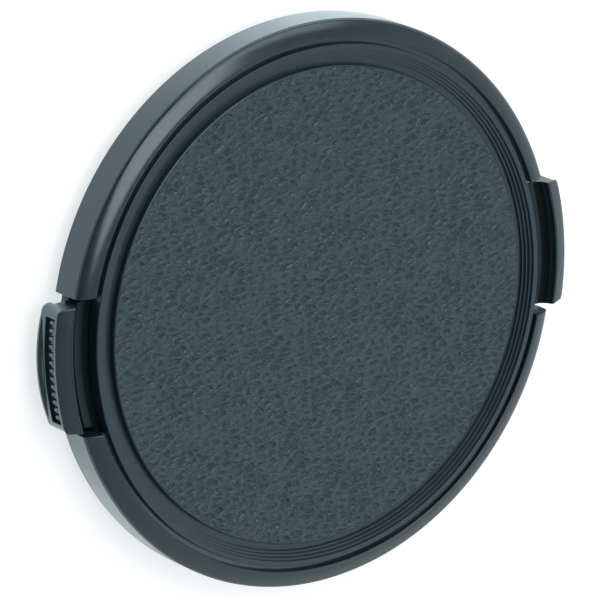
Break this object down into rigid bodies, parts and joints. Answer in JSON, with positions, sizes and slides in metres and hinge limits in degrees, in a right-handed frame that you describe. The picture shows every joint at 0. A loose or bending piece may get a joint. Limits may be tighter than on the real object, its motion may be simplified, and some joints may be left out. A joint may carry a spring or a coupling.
{
  "type": "camera lens cap",
  "caption": "Round side-pinch camera lens cap with a grained front disc, stepped ring and sprung finger tabs that grip a filter thread.",
  "frame": {"origin": "on the cap's axis, at the surface that the cap lies on, under the end of its locating ring", "axes": "+Z along the cap's axis, out of the grained front face; +X along the slide of the right-hand latch, towards its tab"},
  "size_m": [0.0816, 0.076, 0.0082],
  "materials": {
    "cover_plastic": "dark slate moulded plastic, grained disc, satin rim",
    "rear_plastic": "dark matt moulded plastic",
    "latch_plastic": "dark satin moulded plastic",
    "spring_steel": "drawn spring wire"
  },
  "bodies": {
    "cap_body": {"front_cover": "cover_plastic", "rear_plate": "rear_plastic", "spring_right_rear": "spring_steel", "spring_right_fore": "spring_steel", "spring_left_rear": "spring_steel", "spring_left_fore": "spring_steel"},
    "latch_right": {"latch_right": "latch_plastic"},
    "latch_left": {"latch_left": "latch_plastic"}
  },
  "joints": [
    {"name": "right_pinch", "type": "slide", "parent": "cap_body", "child": "latch_right", "axis": [-1, 0, 0], "range_m": [0, 0.002], "stiffness_N_per_m": 1000, "springref_m": -0.002, "deforming": ["spring_right_rear", "spring_right_fore"]},
    {"name": "left_pinch", "type": "slide", "parent": "cap_body", "child": "latch_left", "axis": [1, 0, 0], "range_m": [0, 0.002], "stiffness_N_per_m": 1000, "springref_m": -0.002, "deforming": ["spring_left_rear", "spring_left_fore"]}
  ]
}
